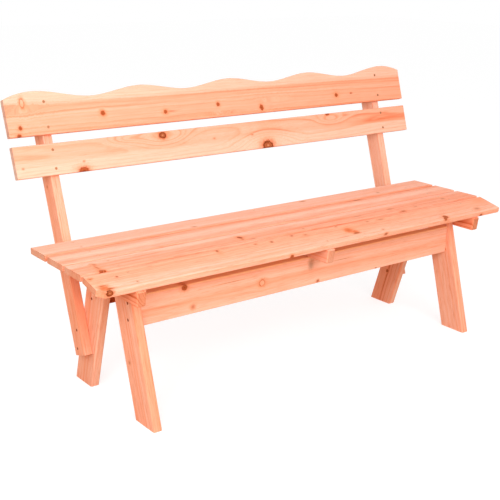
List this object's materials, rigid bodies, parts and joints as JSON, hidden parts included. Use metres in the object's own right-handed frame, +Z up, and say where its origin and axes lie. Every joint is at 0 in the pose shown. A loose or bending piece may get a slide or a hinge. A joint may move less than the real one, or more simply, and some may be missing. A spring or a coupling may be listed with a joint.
{
  "type": "garden bench",
  "caption": "Slatted wooden garden bench on two A-shaped trestles, with a raked back whose upper board has a wavy top edge.",
  "frame": {"origin": "on the floor, in the middle of the bench's length and overall depth", "axes": "+X along the bench, +Y towards the back, +Z up; the sitter faces -Y"},
  "size_m": [1.5, 0.6012, 0.8252],
  "materials": {
    "seat_fir": "planed, untreated fir",
    "back_fir": "planed, untreated fir",
    "frame_fir": "planed, untreated fir",
    "screw_steel": "yellow-zinc plated, countersunk"
  },
  "bodies": {
    "root": {"seat_slat_rear": "seat_fir", "seat_slat_inner_rear": "seat_fir", "seat_slat_inner_front": "seat_fir", "seat_slat_front": "seat_fir", "back_board_lower": "back_fir", "back_board_crest": "back_fir", "batten_left": "frame_fir", "batten_centre": "frame_fir", "batten_right": "frame_fir", "front_leg_left": "frame_fir", "front_leg_right": "frame_fir", "rear_leg_left": "frame_fir", "rear_leg_right": "frame_fir", "front_rail": "frame_fir", "rear_rail": "frame_fir", "upright_left": "frame_fir", "upright_right": "frame_fir", "seat_screws": "screw_steel", "rail_screws": "screw_steel", "batten_screws": "screw_steel", "upright_screws": "screw_steel", "upright_end_screws": "screw_steel", "back_screws": "screw_steel"}
  },
  "joints": []
}
